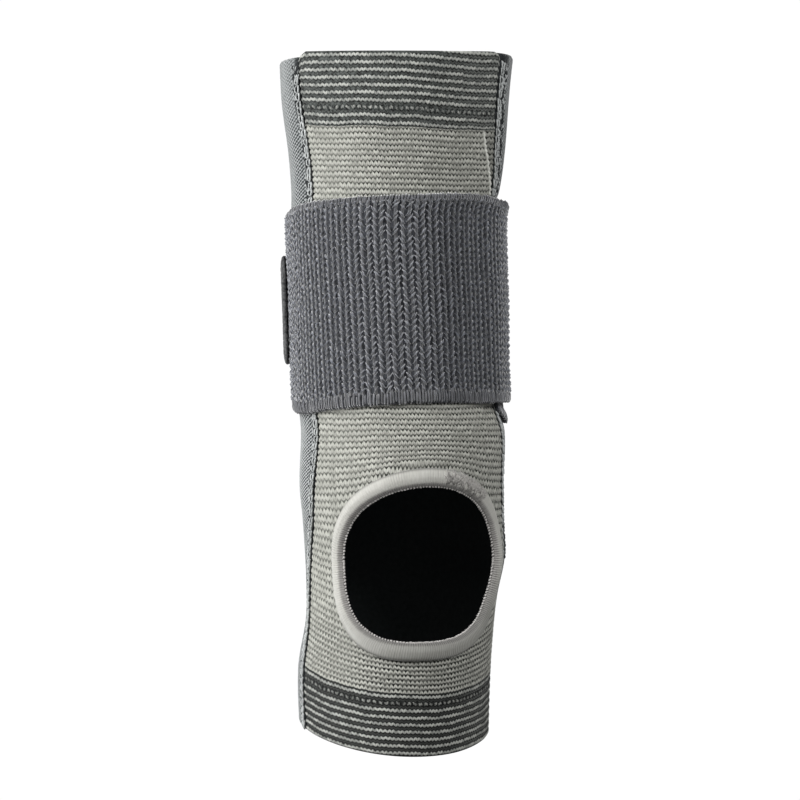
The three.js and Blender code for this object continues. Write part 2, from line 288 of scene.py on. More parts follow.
CUFF_TOP, BODY, CUFF_END = 10, 94, 9      # knit rows in each zone of the thumb-side panel
N_WALE, N_RIB = 50, 96                    # stitch columns of the thumb-side panel at its top, ribs of the other
FAN = (68.0, 94.0, 0.30)                  # rows between which the panel gains stitch columns, and by what share


ZIG_BODY, ZIG_CUFF = 0.44, 0.21           # how far the zigzag swings, in rows
CREASE = (45.9, 0.2314)                     # the crease's wale at row 10, and wales per row


def striped_knit():
    k = Nodes("striped_knit")
    vec, u, v = k.uv()
    cell = k.new("ShaderNodeCombineXYZ")
    k.put(cell.inputs[0], k.math("FLOOR", u))
    k.put(cell.inputs[1], k.math("FLOOR", v))
    white = k.new("ShaderNodeTexWhiteNoise", noise_dimensions="2D")
    k.t.links.new(cell.outputs[0], white.inputs["Vector"])
    dice = k.math("SUBTRACT", white.outputs["Value"], 0.5)
    grain = k.math("SUBTRACT", k.noise(vec, 2.6, 3.0, 0.65), 0.5)
    slow = k.math("SUBTRACT", k.noise(vec, 0.11, 2.0, 0.5), 0.5)
    fu = k.math("FRACT", k.math("ADD", u, k.math("MULTIPLY", grain, 0.20)))
    tri = k.math("MULTIPLY", k.math("ABSOLUTE", k.math("SUBTRACT", fu, 0.5)), 2.0)
    leg = k.math("SUBTRACT", 1.0, k.math("ABSOLUTE", k.math("SUBTRACT", k.math("MULTIPLY", tri, 2.0), 1.0)))
    vv = k.math("ADD", v, k.math("ADD", k.math("MULTIPLY", grain, 0.26), k.math("MULTIPLY", dice, 0.16)))
    # body: pale zigzag rows of stitches, parted by dark three-cornered dots at every turn of the zigzag
    row = k.math("FRACT", k.math("ADD", vv, k.math("MULTIPLY", tri, ZIG_BODY)))
    off = k.math("ABSOLUTE", k.math("SUBTRACT", row, 0.5))
    low_zone = k.step(v, 90.0, 97.0)
    wide = k.math("ADD", k.math("SUBTRACT", 0.27, k.math("MULTIPLY", tri, 0.08)), k.math("MULTIPLY", low_zone, 0.09))
    body_dark = k.step(k.math("DIVIDE", off, wide), 1.15, 0.45)
    body_dark = k.math("MULTIPLY", body_dark, k.math("SUBTRACT", 1.0, k.math("MULTIPLY", tri, 0.46)))
    body_dark = k.math("MULTIPLY", body_dark, k.math("ADD", k.math("MULTIPLY", k.math("ADD", slow, dice), 0.40), 1.02))
    # cuffs: a dark ground with pale zigzag rows
    even = k.math("ADD", v, k.math("ADD", k.math("MULTIPLY", grain, 0.20), k.math("MULTIPLY", dice, 0.05)))
    zig = k.math("FRACT", k.math("ADD", even, k.math("MULTIPLY", tri, ZIG_CUFF)))
    zoff = k.math("ABSOLUTE", k.math("SUBTRACT", zig, 0.62))
    cuff_light = k.step(zoff, 0.255, 0.09)
    # the rows where the turned cuffs are stitched down show as dashes
    dash = k.step(k.math("ABSOLUTE", k.math("SUBTRACT", k.math("FRACT", k.math("ADD", k.math("MULTIPLY", u, 0.75), grain)), 0.5)), 0.36, 0.16)
    down = k.math("ADD", k.step(k.math("ABSOLUTE", k.math("SUBTRACT", v, 7.5)), 0.56, 0.44),
                  k.step(k.math("ABSOLUTE", k.math("SUBTRACT", v, CUFF_TOP + BODY + 1.5)), 0.56, 0.44))
    cuff_light = k.math("MULTIPLY", cuff_light, k.math("SUBTRACT", 1.0, k.math("MULTIPLY", down, k.math("SUBTRACT", 1.0, k.math("MULTIPLY", dash, k.math("ADD", k.math("MULTIPLY", grain, 1.6), 0.60))))))
    cuff_light = k.math("MULTIPLY", cuff_light, k.math("ADD", k.math("MULTIPLY", grain, 0.60), k.math("ADD", k.math("MULTIPLY", dice, 0.26), 0.97)))
    in_top = k.math("LESS_THAN", v, float(CUFF_TOP))
    in_end = k.math("GREATER_THAN", v, float(CUFF_TOP + BODY))
    in_cuff = k.math("ADD", in_top, in_end)
    # each stitch is two slanting legs, with a painted highlight half-way along; noise and dice give each stitch its own
    # tone
    tone_and_highlight = k.math("ADD", k.math("ADD", k.noise(vec, 4.4, 2.0, 0.7), k.math("MULTIPLY", dice, 0.45)), k.math("MULTIPLY", k.math("SUBTRACT", leg, 0.5), 0.35))
    light = k.mix(tone_and_highlight, srgb(132, 133, 126), srgb(194, 194, 186))
    dark = k.mix(tone_and_highlight, srgb(8, 10, 8), srgb(54, 56, 52))
    # towards the end cuff the dots' dark is painted darker, as painted shade towards the bottom
    dark = k.mix(k.math("MULTIPLY", low_zone, 0.7), dark, srgb(6, 7, 6))
    body = k.mix(body_dark, light, dark)
    # towards the -X edge the knit's contrast is painted down and the cuffs' pale rows dimmer: painted light and shade
    # that offset the light falling from that side
    left = k.step(u, 17.0, 6.0)
    body = k.mix(k.math("MULTIPLY", left, 0.26), body, srgb(139, 140, 133))
    speck = k.step(k.noise(vec, 1.5, 3.0, 0.75), 0.36, 0.68)
    cuff_dark = k.mix(speck, srgb(6, 8, 8), srgb(78, 82, 80))
    # the end cuff's dark rows are painted darker, as painted shade towards the bottom
    cuff_dark = k.mix(k.math("MULTIPLY", in_end, 0.78), cuff_dark, srgb(7, 8, 8))
    cuff_pale = k.mix(tone_and_highlight, srgb(118, 121, 117), srgb(192, 193, 187))
    faint = k.step(k.math("ABSOLUTE", k.math("SUBTRACT", zig, 0.12)), 0.17, 0.04)
    cuff_dark = k.mix(k.math("MULTIPLY", faint, k.math("ADD", k.math("MULTIPLY", k.step(u, 32.0, 46.0), 0.20), 0.10)), cuff_dark, srgb(150, 152, 148))
    cuff = k.mix(k.math("MULTIPLY", cuff_light, k.math("SUBTRACT", 1.0, k.math("MULTIPLY", left, 0.20))), cuff_dark, cuff_pale)
    colour = k.mix(in_cuff, body, cuff)
    # a crease runs into the +X seam: a painted highlight along its ridge, and painted shade beside it towards the seam
    at = k.math("SUBTRACT", u, k.math("ADD", k.math("MULTIPLY", k.math("SUBTRACT", v, 10.0), CREASE[1]), CREASE[0]))
    crease_highlight = k.math("MULTIPLY", k.step(k.math("ABSOLUTE", at), 0.36, 0.12), k.math("MULTIPLY", k.step(v, 9.6, 11.0), k.step(v, 24.0, 22.0)))
    crease_shade = k.math("MULTIPLY", k.step(at, 0.18, 0.54), k.math("MULTIPLY", k.step(v, 9.6, 11.0), k.step(v, 24.0, 20.0)))
    colour = k.mix(k.math("MULTIPLY", crease_shade, 0.40), colour, srgb(44, 45, 42))
    colour = k.mix(k.math("MULTIPLY", crease_highlight, 0.92), colour, srgb(218, 219, 212))
    # along both seams the edge wales are painted dark, as painted shade in the seam's groove
    fan = k.math("ADD", k.math("MULTIPLY", k.step(v, FAN[0], FAN[1]), FAN[2]), 1.0)
    rim = k.math("SUBTRACT", N_WALE / 2, k.math("DIVIDE", k.math("ABSOLUTE", k.math("SUBTRACT", u, N_WALE / 2)), fan))
    colour = k.mix(k.math("MULTIPLY", k.step(rim, 0.53, 0.18), 0.85), colour, srgb(34, 37, 38))
    k.bump(k.noise(vec, 5.0, 2.0, 0.6), 0.35, 0.0003)
    return k.cloth(colour, 0.95, 0.05)


def lining():
    k = Nodes("inner_face")
    colour = k.mix(k.noise(k.object_coords(), 900.0), srgb(40, 43, 44), srgb(60, 64, 65))
    return k.cloth(colour, 0.95, 0.0)


def melange():
    k = Nodes("grey_rib_knit")
    vec, u, v = k.uv()
    fleck = k.noise(vec, 3.6, 3.0, 0.7)
    cloud = k.noise(vec, 0.16, 2.0, 0.55)
    fu = k.math("FRACT", k.math("ADD", u, k.math("MULTIPLY", k.math("SUBTRACT", fleck, 0.5), 0.3)))
    tri = k.math("MULTIPLY", k.math("ABSOLUTE", k.math("SUBTRACT", fu, 0.5)), 2.0)
    rib_groove_shade = k.step(tri, 0.50, 1.0)
    rim = k.math("MINIMUM", u, k.math("SUBTRACT", float(N_RIB), u))
    near = k.step(rim, 14.0, 2.0)
    # every rib is a column of short slanting yarns, dark and pale
    shift = k.math("FRACT", k.math("MULTIPLY", k.math("FLOOR", u), 0.618))
    lean = k.math("SINE", k.math("MULTIPLY", k.math("ADD", k.math("ADD", k.math("MULTIPLY", v, 1.48), shift), k.math("ADD", k.math("MULTIPLY", fu, 0.8), k.math("MULTIPLY", fleck, 0.5))), 6.2832))
    shown = k.math("ADD", k.math("MULTIPLY", k.step(v, 6.0, 24.0), 0.55), 0.40)
    yarn = k.math("MULTIPLY", k.step(lean, -0.55, 0.25), k.math("ADD", k.math("MULTIPLY", k.math("MULTIPLY", near, shown), 0.95), 0.42))
    yarn = k.math("MULTIPLY", yarn, k.math("ADD", k.math("MULTIPLY", k.step(cloud, 0.28, 0.60), 0.35), 0.65))
    along = k.new("ShaderNodeCombineXYZ")
    k.put(along.inputs[0], k.math("MULTIPLY", u, 2.2))
    k.put(along.inputs[1], k.math("MULTIPLY", v, 0.40))
    streak = k.noise(along.outputs[0], 1.5, 3.0, 0.65)
    light = k.mix(k.math("ADD", k.math("MULTIPLY", streak, 0.75), k.math("SUBTRACT", k.math("ADD", k.math("MULTIPLY", fleck, 0.35), k.math("MULTIPLY", cloud, 0.30)), 0.20)), srgb(92, 95, 96), srgb(192, 195, 195))
    dark = k.mix(fleck, srgb(10, 13, 14), srgb(60, 65, 66))
    light = k.mix(k.math("MULTIPLY", near, 0.22), light, srgb(214, 217, 217))
    light = k.mix(k.math("MULTIPLY", k.step(v, 60.0, 84.0), 0.45), light, srgb(206, 209, 209))
    # the dark colour is painted shade in the grooves between the ribs, deeper near the seams, and the dark slanting
    # yarns
    part = k.math("MAXIMUM", k.math("MULTIPLY", rib_groove_shade, k.math("ADD", k.math("MULTIPLY", near, 0.30), 0.38)), yarn)
    colour = k.mix(part, light, dark)
    # painted shade along both seams, deeper in the upper part
    colour = k.mix(k.math("MULTIPLY", k.step(rim, 7.0, 1.0), k.math("ADD", k.math("MULTIPLY", k.step(v, 90.0, 60.0), 0.22), 0.08)), colour, srgb(52, 57, 58))
    # the braided stitches of the upper +X seam lie on a band painted dark, as painted shade between the stitches
    band = k.math("MULTIPLY", k.step(u, 4.2, 2.6), k.step(v, 44.0, 34.0))
    colour = k.mix(k.math("MULTIPLY", band, 0.85), colour, srgb(30, 33, 34))
    # the seam's very edge is painted dark, as painted shade in its groove
    colour = k.mix(k.math("MULTIPLY", k.step(rim, 1.3, 0.6), 0.85), colour, srgb(34, 37, 38))
    k.bump(k.noise(vec, 6.0, 2.0, 0.6), 0.3, 0.0003)
    k.cloth(colour, 0.95, 0.85)
    k.bsdf.inputs["Sheen Roughness"].default_value = 0.22
    return k.mat


def strap_yarn(name="strap_yarn", low=(36, 39, 48), high=(140, 145, 158)):
    k = Nodes(name)
    vec, u, v = k.uv()
    fleck = k.noise(vec, 1.3, 3.0, 0.75)
    strand = k.math("SINE", k.math("MULTIPLY", k.math("ADD", u, k.math("MULTIPLY", v, 0.45)), 25.13))
    colour = k.mix(k.step(fleck, 0.28, 0.74), srgb(*low), srgb(*high))
    colour = k.mix(k.math("MULTIPLY", k.math("ADD", k.math("MULTIPLY", strand, 0.5), 0.5), 0.55), colour, srgb(34, 36, 40))
    return k.cloth(colour, 0.95, 1.0)


# the ground seen between the strap's stitches is painted dark, as painted shade in the gaps
def strap_ground_shade():
    k = Nodes("strap_ground_shade")
    fleck = k.noise(k.object_coords(), 1400.0, 2.0, 0.6)
    return k.cloth(k.mix(k.step(fleck, 0.3, 0.7), srgb(24, 25, 28), srgb(66, 68, 73)), 0.95, 0.1)


def tape():
    k = Nodes("hook_tape")
    fleck = k.noise(k.object_coords(), 1600.0, 2.0, 0.6)
    return k.cloth(k.mix(k.step(fleck, 0.3, 0.7), srgb(44, 44, 45), srgb(100, 101, 102)), 0.65, 0.05)


def satin():
    k = Nodes("binding_thread")
    vec, u, v = k.uv()
    fleck = k.noise(vec, 2.0, 3.0, 0.6)
    cloud = k.noise(vec, 0.05, 2.0, 0.5)
    fu = k.math("FRACT", k.math("ADD", u, k.math("MULTIPLY", fleck, 0.25)))
    line = k.step(k.math("ABSOLUTE", k.math("SUBTRACT", fu, 0.5)), 0.22, 0.5)
    # the binding's thread is pale all round; its inner band is painted shade, its outer edge a painted shadow where the
    # roll meets the panel, and its underside painted dark as shade inside the hole
    inner = k.step(v, 0.54, 0.66)
    base = k.step(v, 0.74, 0.82)
    outer = k.step(v, 0.20, 0.03)
    pale = k.mix(fleck, srgb(156, 155, 149), srgb(198, 197, 191))
    low = k.mix(fleck, srgb(110, 108, 106), srgb(178, 175, 171))
    colour = k.mix(inner, pale, low)
    colour = k.mix(k.math("MULTIPLY", outer, 0.75), colour, srgb(74, 75, 71))
    colour = k.mix(k.math("MULTIPLY", base, 0.85), colour, srgb(34, 33, 33))
    # along the bottom of the ring the binding is painted darker, as painted shade, and its thread lines show more
    under = k.step(k.math("ABSOLUTE", k.math("SUBTRACT", u, 192.0)), 62.0, 28.0)
    show = k.math("ADD", k.math("MULTIPLY", k.step(cloud, 0.42, 0.60), 0.22), k.math("MULTIPLY", under, 0.22))
    colour = k.mix(k.math("MULTIPLY", under, 0.45), colour, srgb(84, 85, 80))
    colour = k.mix(k.math("MULTIPLY", line, k.math("ADD", k.math("MULTIPLY", inner, 0.45), show)), colour, srgb(40, 38, 37))
    k.cloth(colour, 0.48, 0.15)
    k.bsdf.inputs["Specular IOR Level"].default_value = 0.35
    return k.mat


def pale_thread(name, a, b):
    k = Nodes(name)
    fleck = k.noise(k.object_coords(), 1100.0, 2.0, 0.6)
    return k.cloth(k.mix(fleck, a, b), 0.85, 0.1)


# ------------------------------------------------------------------ meshes
def build(name, verts_mm, faces, mats, uv=None, face_mats=None, flat=False):
    me = bpy.data.meshes.new(name)
    me.from_pydata((np.asarray(verts_mm) * 0.001).tolist(), [], faces)
    for m in mats:
        me.materials.append(m)
    if face_mats is not None:
        me.polygons.foreach_set("material_index", np.asarray(face_mats, np.int32))
    if uv is not None:
        idx = np.empty(len(me.loops), np.int32)
        me.loops.foreach_get("vertex_index", idx)
        layer = me.uv_layers.new(name="knit")
        layer.data.foreach_set("uv", np.asarray(uv, np.float32)[idx].ravel())
    me.polygons.foreach_set("use_smooth", np.full(len(me.polygons), not flat, bool))
    me.update()
    ob = bpy.data.objects.new(name, me)
    bpy.context.collection.objects.link(ob)
    return ob


def cell_wall(nu, nv, sub_u, subs_v, keep, outer, inner, wales, rows):
    """A closed wall made of knit cells: the outer face is fine, with sub_u by subs_v[j] quads in each
    cell, the inner face has one quad a cell, and every open side of a cell is bridged.
    outer(u, v) and inner(u, v) take grids of cell coordinates and give points."""
    us = np.arange(nu * sub_u + 1) / sub_u
    vs = np.concatenate([[0.0]] + [j + np.arange(1, s + 1) / s for j, s in enumerate(subs_v)])
    first = np.concatenate([[0], np.cumsum(subs_v)])
    nc = len(us)
    gu, gv = np.meshgrid(us, vs)
    po = outer(gu, gv).reshape(-1, 3)
    cu, cv = np.meshgrid(np.arange(nu + 1.0), np.arange(nv + 1.0))
    pi = inner(cu, cv).reshape(-1, 3)
    base = len(po)
    faces, mats = [], []
    O = lambda i, j: j * nc + i
    I = lambda i, j: base + j * (nu + 1) + i
    kept = lambda a, b: 0 <= a < nu and 0 <= b < nv and keep[b, a]
    for b in range(nv):
        j0, j1 = int(first[b]), int(first[b + 1])
        for a in range(nu):
            if not keep[b, a]:
                continue
            i0, i1 = a * sub_u, (a + 1) * sub_u
            for j in range(j0, j1):
                for i in range(i0, i1):
                    faces.append((O(i, j), O(i, j + 1), O(i + 1, j + 1), O(i + 1, j)))
                    mats.append(0)
            faces.append((I(a, b), I(a + 1, b), I(a + 1, b + 1), I(a, b + 1)))
            mats.append(1)
            if not kept(a, b - 1):
                faces.append([O(i, j0) for i in range(i0, i1 + 1)] + [I(a + 1, b), I(a, b)]); mats.append(0)
            if not kept(a, b + 1):
                faces.append([O(i, j1) for i in range(i1, i0 - 1, -1)] + [I(a, b + 1), I(a + 1, b + 1)]); mats.append(0)
            if not kept(a - 1, b):
                faces.append([O(i0, j) for j in range(j1, j0 - 1, -1)] + [I(a, b), I(a, b + 1)]); mats.append(0)
            if not kept(a + 1, b):
                faces.append([O(i1, j) for j in range(j0, j1 + 1)] + [I(a + 1, b + 1), I(a + 1, b)]); mats.append(0)
    pts = np.vstack([po, pi])
    uv = np.vstack([np.stack([wales(a, b).ravel(), rows(a, b).ravel()], 1) for a, b in ((gu, gv), (cu, cv))])
    used = np.zeros(len(pts), bool)
    used[np.concatenate([np.asarray(f) for f in faces])] = True
    new = np.cumsum(used) - 1
    faces = [tuple(int(new[i]) for i in f) for f in faces]
    return pts[used], faces, uv[used], mats


# ------------------------------------------------------------------ the thumb-side panel
SUB_U = 4
SPREAD = 0.35                             # the wales are pulled wider towards both seams
ROW_MM = np.concatenate([np.full(CUFF_TOP, 1.80), np.linspace(1.33, 1.50, BODY - 10), np.full(10, 1.28), np.full(CUFF_END, 1.79)])
N_ROW = len(ROW_MM)
DEPTH = np.concatenate([[0], np.cumsum(ROW_MM)])


def panel_place(u, v):
    """Wale and row numbers to angle and height. The rows are pulled apart round the thumb hole."""
    depth = np.interp(v, np.arange(N_ROW + 1), DEPTH)
    full = DEPTH[-1]
    deg = (2 * u / N_WALE - 1) * 66
    z = RIM["thumb_top"] - depth
    mm = (2 * u / N_WALE - 1) * 40

    def pulled(d):
        zz = RIM["thumb_top"] - d * (RIM["thumb_top"] + 106.0) / full
        x = (mm - 2.5) / 21.0
        y = (zz - HOLE["z"]) / 15.5
        rho = np.maximum(np.sqrt(x * x + y * y), 1.0)
        return zz + (zz - HOLE["z"]) * np.where(y > 0, 0.46, 0.38) * rho**-1.6 * ramp(zz, 18.0, -18.0)

    for _ in range(3):
        left, right = -arc(sec("seam_left", z) - 0.35, z), arc(sec("seam_right", z) - 0.35, z)
        s = 2 * u / N_WALE - 1
        mm = left + (right - left) * (0.5 + 0.5 * (s + SPREAD * s**3) / (1 + SPREAD))
        deg = angle_at(mm, z, deg)
        low, (high, drop) = hem(deg), thumb_top(deg)
        a, b = pulled(np.zeros_like(depth)), pulled(np.full_like(depth, full))
        z = low + (high - low) * (pulled(depth) - b) / (a - b) - drop * np.clip(1 - depth / 9.0, 0, 1) ** 2
    return deg, z


def panel_rows(u, v):
    """The knit's row number at a place: towards +X the upper rows run a little downhill."""
    return v - 0.8 * ramp(u / N_WALE, 0.48, 0.95) * (1 - ramp(v, 12.0, 30.0))


def panel_wales(u, v):
    """The knit's wale number at a place: past the thumb hole the panel is wider and holds more wales."""
    return N_WALE / 2 + (u - N_WALE / 2) * (1 + FAN[2] * ramp(v, FAN[0], FAN[1]))


def knit_height(u, v):
    """Relief of the weft knit, in mm below the sleeve's outer face."""
    tri = np.abs(panel_wales(u, v) % 1.0 - 0.5) * 2
    cuff = (v < CUFF_TOP) | (v > CUFF_TOP + BODY)
    body = 0.5 + 0.5 * np.cos(2 * np.pi * (v + ZIG_BODY * tri))
    band = 0.5 + 0.5 * np.cos(2 * np.pi * (v + ZIG_CUFF * tri - 0.62))
    pit = (1 - body) ** 1.5 * (1 - tri)
    return np.where(cuff, -0.34 * (1 - band) - 0.06 * (1 - tri) ** 2, -0.20 * (1 - body) - 0.24 * pit - 0.04 * tri**2)


def thumb_panel():
    subs = []
    for j in range(N_ROW):
        z = RIM["thumb_top"] - DEPTH[j]
        subs.append(1 if -24.0 < z < 20.0 else 5)
    cu, cv = np.meshgrid(np.arange(N_WALE) + 0.5, np.arange(N_ROW) + 0.5)
    d, z = panel_place(cu, cv)
    keep = hole_distance(d, z) > 2.1

    def outer(u, v):
        ju = 0.10 * wobble(u.shape, (60, 40), 3)
        jv = 0.07 * wobble(u.shape, (60, 44), 4) + 0.10 * wobble(u.shape, (9, 7), 6)
        inside = np.clip(np.minimum(v, N_ROW - v) * 2, 0, 1) * np.clip(np.minimum(u, N_WALE - u), 0, 1)
        deg, z = panel_place(u + ju * inside, v + jv * inside)
        off = knit_height(u, panel_rows(u, v)) + 0.10 * wobble(u.shape, (14, 8), 5)
        rim = np.minimum(v, N_ROW - v) * 1.8
        off = off - 0.5 * (1 - np.sqrt(1 - (1 - np.clip(rim / 1.0, 0, 1)) ** 2))
        # a crease that runs into the +X seam just above the strap
        away = (u - CREASE[0] - CREASE[1] * (panel_rows(u, v) - 10.0)) * 1.7
        near = ramp(v, 9.0, 11.5) * ramp(v, 25.0, 22.5)
        off = off + near * (0.60 * np.exp(-(away / 0.55) ** 2) - 0.45 * np.exp(-((away - 1.7) / 1.0) ** 2))
        # the panel is drawn in along both seams
        off = off - 0.45 * np.exp(-((np.minimum(u, N_WALE - u) * 1.9) / 0.7) ** 2)
        return stand(deg, z, off)

    def inner(u, v):
        deg, z = panel_place(u, v)
        # the wall thins behind the binding, so that its cut edge stays hidden
        thin = ramp(hole_distance(deg, z), 5.5, 3.4) * np.clip(np.minimum(u, N_WALE - u) / 2, 0, 1)
        return stand(deg, z, -sec("wall", z) * (1 - 0.42 * thin))

    pts, faces, uv, mats = cell_wall(N_WALE, N_ROW, SUB_U, subs, keep, outer, inner, panel_wales, panel_rows)
    return build("thumb_side_knit", pts, faces, [striped_knit(), lining()], uv, mats)


# ------------------------------------------------------------------ the rib panel
N_STITCH = 128


def rib_place(u, v):
    share, rise = u / N_RIB, 1 - v / N_STITCH
    turn = (share - 0.5) * 220.0
    z = RIM["rib_top"] - 165.0 * (1 - rise)
    for _ in range(3):
        a, b = arc(sec("seam_right", z) + 0.35 - 180.0, z, "back"), arc(180.0 - sec("seam_left", z) - 0.35, z, "back")
        turn = angle_at(a + (b - a) * share, z, turn, "back")
        low, high = hem(turn + 180.0), rib_top(turn + 180.0)
        z = low + (high - low) * rise
    return turn + 180.0, z


def rib_panel():
    subs = []
    for j in range(N_STITCH):
        z = 60 - 165.0 * j / N_STITCH
        subs.append(1 if -22.0 < z < 20.0 else 2)

    def outer(u, v):
        inside = np.clip(np.minimum(u, N_RIB - u), 0, 1)
        deg, z = rib_place(u + 0.10 * inside * wobble(u.shape, (44, 30), 8), v)
        tri = np.abs(u % 1.0 - 0.5) * 2
        leg = 0.5 + 0.5 * np.cos(2 * np.pi * (v + 0.55 * tri))
        off = -0.36 * tri**2 - 0.04 * (1 - leg) + 0.12 * wobble(u.shape, (12, 10), 9)
        rim = np.minimum(v, N_STITCH - v) * 1.3
        off = off - 0.5 * (1 - np.sqrt(1 - (1 - np.clip(rim / 1.0, 0, 1)) ** 2))
        off = off - 0.45 * np.exp(-((np.minimum(u, N_RIB - u) * 1.3) / 0.8) ** 2)
        return stand(deg, z, off)

    def inner(u, v):
        deg, z = rib_place(u, v)
        return stand(deg, z, -sec("wall", z))

    pts, faces, uv, mats = cell_wall(N_RIB, N_STITCH, 3, subs, np.ones((N_STITCH, N_RIB), bool), outer, inner, lambda u, v: u, lambda u, v: v)
    return build("rib_knit", pts, faces, [melange(), lining()], uv, mats)


# ------------------------------------------------------------------ the strap
def strap_stand(deg):
    return GAP + (STRAP_THICK + GAP) * ramp(deg, 402, 420) + 0.45 * ramp(deg, 405, 430) * (1 - ramp(deg, 470, 520))


_ED = np.arange(STRAP_FROM, STRAP_TO + 0.5, 1.0)
_EK = np.ones(9) / 9
_EDGE = [np.convolve(np.pad(np.interp(_ED, STRAP_EDGES[:, 0], STRAP_EDGES[:, k]), 4, mode="edge"), _EK, "valid") for k in (1, 2)]


def strap_height(deg, w):
    """Height of a place w mm up from the strap's middle."""
    low, high = np.interp(deg, _ED, _EDGE[0]), np.interp(deg, _ED, _EDGE[1])
    high = high - 1.1 * np.exp(-((deg - 456.0) / 13.0) ** 2)      # the top edge is worn round at the +X side
    return low + (high - low) * (w / STRAP_WIDTH + 0.5)


_SD = np.linspace(STRAP_FROM, STRAP_TO, 2000)
_SP = stand(_SD, strap_height(_SD, 0.0), strap_stand(_SD) + STRAP_THICK)
_SL = np.concatenate([[0], np.cumsum(np.linalg.norm(np.diff(_SP, axis=0), axis=1))])
STRAP_LENGTH = float(_SL[-1])


def strap_point(s, w, n):
    """mm along the strap, mm up from its middle and mm out from its inner face, as a point."""
    deg = np.interp(s, _SL, _SD)
    return stand(deg, strap_height(deg, w), strap_stand(deg) + n)


GROUND = 0.85


def strap_ribbon():
    na, nb = 300, 40
    s = np.linspace(0, STRAP_LENGTH, na + 1)
    w = np.linspace(-STRAP_WIDTH / 2 + 0.3, STRAP_WIDTH / 2 - 0.3, nb + 1)
    gs, gw = np.meshgrid(s, w, indexing="ij")
    edge = np.minimum(STRAP_WIDTH / 2 - np.abs(gw), 1.0)
    thin = 1 - np.sqrt(np.clip(1 - (1 - np.clip(edge, 0, 1)) ** 2, 0, 1))
    top = strap_point(gs, gw, GROUND - 0.35 * thin).reshape(-1, 3)
    low = strap_point(gs, gw, 0.35 * thin).reshape(-1, 3)
    T = lambda i, j: i * (nb + 1) + j
    B = lambda i, j: len(top) + i * (nb + 1) + j
    f = []
    for i in range(na):
        for j in range(nb):
            f.append((T(i, j), T(i + 1, j), T(i + 1, j + 1), T(i, j + 1)))
            f.append((B(i, j), B(i, j + 1), B(i + 1, j + 1), B(i + 1, j)))
        f.append((B(i, 0), B(i + 1, 0), T(i + 1, 0), T(i, 0)))
        f.append((T(i, nb), T(i + 1, nb), B(i + 1, nb), B(i, nb)))
    for j in range(nb):
        f.append((T(0, j), T(0, j + 1), B(0, j + 1), B(0, j)))
        f.append((B(na, j), B(na, j + 1), T(na, j + 1), T(na, j)))
    return build("strap_ribbon", np.vstack([top, low]), f, [strap_ground_shade()])


def tubes(paths, r_side, r_out, sides, place):
    """Closed tubes along many short paths (count, rings, 3) in local coordinates, put in place by
    place(a, b, c). r_side and r_out are (count, rings). Returns points, faces and a uv per point."""
    count, rings, _ = paths.shape
    tan = np.gradient(paths, axis=1)
    tan /= np.linalg.norm(tan, axis=-1, keepdims=True)
    side = np.cross(tan, np.array([0.0, 0.0, 1.0]))
    side /= np.maximum(np.linalg.norm(side, axis=-1, keepdims=True), 1e-6)
    up = np.cross(side, tan)
    th = 2 * np.pi * np.arange(sides) / sides
    p = (paths[:, :, None, :] + side[:, :, None, :] * (np.cos(th) * r_side[:, :, None])[..., None]
         + up[:, :, None, :] * (np.sin(th) * r_out[:, :, None])[..., None])
    pts = place(p[..., 0], p[..., 1], p[..., 2]).reshape(-1, 3)
    k = np.arange(sides)
    ring = lambda r: r * sides + k
    one = [np.stack([ring(r), ring(r) * 0 + r * sides + (k + 1) % sides, (r + 1) * sides + (k + 1) % sides, ring(r + 1)], 1) for r in range(rings - 1)]
    quads = np.concatenate(one)
    ofs = (np.arange(count) * rings * sides)[:, None, None]
    faces = (quads[None] + ofs).reshape(-1, 4).tolist()
    caps = np.stack([k, (rings - 1) * sides + k[::-1]])
    caps[0] = k[::-1]
    caps[1] = (rings - 1) * sides + k
    faces += (caps[None] + ofs).reshape(-1, sides).tolist()
    uv = np.zeros((count, rings, sides, 2))
    where = np.random.default_rng(count).uniform(0, 60, (2, count, 1, 1))
    uv[..., 0] = np.floor(where[0]) + (np.arange(sides) / sides)[None, None, :]
    uv[..., 1] = where[1] + np.linspace(0, 1, rings)[None, :, None]
    return pts, faces, uv.reshape(-1, 2)


